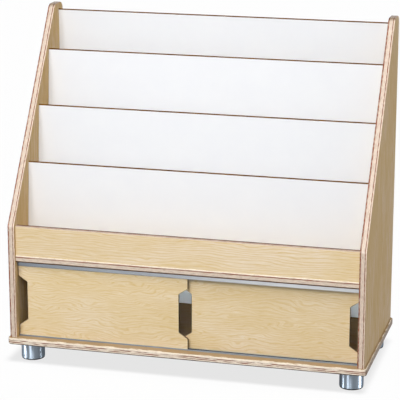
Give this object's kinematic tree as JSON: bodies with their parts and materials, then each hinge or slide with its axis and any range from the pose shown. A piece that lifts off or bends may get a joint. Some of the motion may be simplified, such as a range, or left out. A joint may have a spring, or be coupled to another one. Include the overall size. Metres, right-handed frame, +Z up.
{
  "type": "book display rack with cabinet",
  "caption": "Free-standing plywood book rack with stepped leaning display boards over a low cabinet, closed by sliding doors with finger notches, on round metal feet.",
  "frame": {"origin": "on the floor, under the middle of the base plate", "axes": "+X to the right as seen from the front, +Y to the back, +Z up"},
  "size_m": [0.926, 0.415, 0.8732],
  "materials": {
    "plywood": "clear satin lacquer on birch plywood",
    "door_plywood": "clear satin lacquer on thin birch plywood",
    "white_board": "white-faced hardboard with raw brown edges",
    "track_aluminium": "satin",
    "foot_metal": "polished",
    "glide_rubber": "matt black",
    "zinc_steel": "zinc plated",
    "dowel_beech": "plain"
  },
  "bodies": {
    "frame": {"back_panel": "white_board", "base_plate": "plywood", "bottom_track": "track_aluminium", "bottom_track_screw_1": "zinc_steel", "bottom_track_screw_2": "zinc_steel", "bottom_track_screw_3": "zinc_steel", "cabinet_shelf": "plywood", "display_panel_1": "white_board", "display_panel_2": "white_board", "display_panel_3": "white_board", "foot_front_left": "foot_metal", "foot_front_right": "foot_metal", "foot_glide_front_left": "glide_rubber", "foot_glide_front_right": "glide_rubber", "foot_glide_rear_left": "glide_rubber", "foot_glide_rear_right": "glide_rubber", "foot_rear_left": "foot_metal", "foot_rear_right": "foot_metal", "foot_stud_front_left": "zinc_steel", "foot_stud_front_right": "zinc_steel", "foot_stud_rear_left": "zinc_steel", "foot_stud_rear_right": "zinc_steel", "front_lip": "plywood", "ledge_2": "plywood", "ledge_3": "plywood", "ledge_4": "plywood", "lip_dowel_1": "dowel_beech", "lip_dowel_2": "dowel_beech", "lip_dowel_3": "dowel_beech", "lip_end_dowel_left": "dowel_beech", "lip_end_dowel_right": "dowel_beech", "side_left": "plywood", "side_right": "plywood", "side_screw_left_1": "zinc_steel", "side_screw_left_2": "zinc_steel", "side_screw_left_3": "zinc_steel", "side_screw_right_1": "zinc_steel", "side_screw_right_2": "zinc_steel", "side_screw_right_3": "zinc_steel", "top_track": "track_aluminium", "top_track_screw_1": "zinc_steel", "top_track_screw_2": "zinc_steel", "top_track_screw_3": "zinc_steel"},
    "door_left": {"door_left": "door_plywood"},
    "door_right": {"door_right": "door_plywood"}
  },
  "joints": [
    {"name": "door_left_slide", "type": "slide", "parent": "frame", "child": "door_left", "axis": [1, 0, 0], "range_m": [0, 0.4298]},
    {"name": "door_right_slide", "type": "slide", "parent": "frame", "child": "door_right", "axis": [-1, 0, 0], "range_m": [0, 0.4298]}
  ]
}
